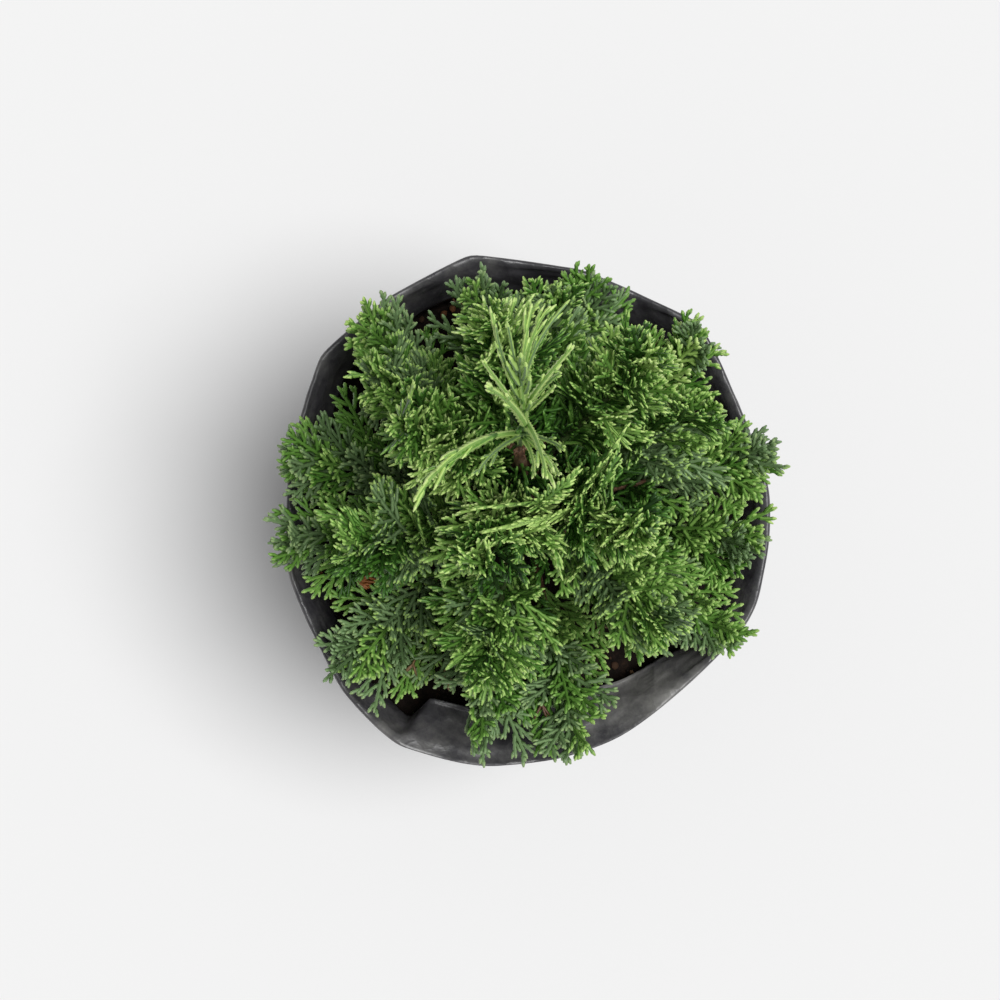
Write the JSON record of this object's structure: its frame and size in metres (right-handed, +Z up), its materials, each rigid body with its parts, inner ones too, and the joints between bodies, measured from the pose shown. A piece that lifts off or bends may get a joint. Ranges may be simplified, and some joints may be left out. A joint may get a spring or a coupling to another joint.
{
  "type": "potted conifer",
  "caption": "Young evergreen conifer with dense sprays of small scale leaves in loose tiers round an upright leading shoot, growing in a soft black film growing bag.",
  "frame": {"origin": "middle of the bag's flat underside", "axes": "+Z up along the plant; -Y towards the front, where the bag's top is folded in as a wide flap; +X to the right seen from the front"},
  "size_m": [0.1662, 0.167, 0.3575],
  "materials": {
    "bag_film": "thin black film, creased, with a soft sheen",
    "growing_mix": "rough moist peat and bark crumb",
    "bark": "thin flaking brown bark, matt",
    "foliage_lower": "scale leaves, deep blue-green, satin",
    "foliage_middle": "scale leaves, mid green, satin",
    "foliage_upper": "scale leaves, bright yellow-green, satin"
  },
  "bodies": {
    "root": {"bag": "bag_film", "growing_mix": "growing_mix", "trunk": "bark", "bough_lower_01": "bark", "bough_lower_02": "bark", "bough_lower_03": "bark", "bough_lower_04": "bark", "bough_lower_05": "bark", "bough_lower_06": "bark", "bough_lower_07": "bark", "bough_lower_08": "bark", "bough_lower_09": "bark", "bough_lower_10": "bark", "bough_lower_11": "bark", "bough_lower_12": "bark", "bough_middle_01": "bark", "bough_middle_02": "bark", "bough_middle_03": "bark", "bough_middle_04": "bark", "bough_middle_05": "bark", "bough_middle_06": "bark", "bough_upper_01": "bark", "bough_upper_02": "bark", "bough_upper_03": "bark", "bough_upper_04": "bark", "bough_upper_05": "bark", "foliage_lower_01": "foliage_lower", "foliage_lower_02": "foliage_lower", "foliage_lower_03": "foliage_lower", "foliage_lower_04": "foliage_lower", "foliage_lower_05": "foliage_lower", "foliage_lower_06": "foliage_lower", "foliage_lower_07": "foliage_lower", "foliage_lower_08": "foliage_lower", "foliage_lower_09": "foliage_lower", "foliage_lower_10": "foliage_lower", "foliage_lower_11": "foliage_lower", "foliage_lower_12": "foliage_lower", "foliage_middle_01": "foliage_middle", "foliage_middle_02": "foliage_middle", "foliage_middle_03": "foliage_middle", "foliage_middle_04": "foliage_middle", "foliage_middle_05": "foliage_middle", "foliage_middle_06": "foliage_middle", "foliage_upper_01": "foliage_upper", "foliage_upper_02": "foliage_upper", "foliage_upper_03": "foliage_upper", "foliage_upper_04": "foliage_upper", "foliage_upper_05": "foliage_upper", "foliage_leader": "foliage_upper"}
  },
  "joints": []
}
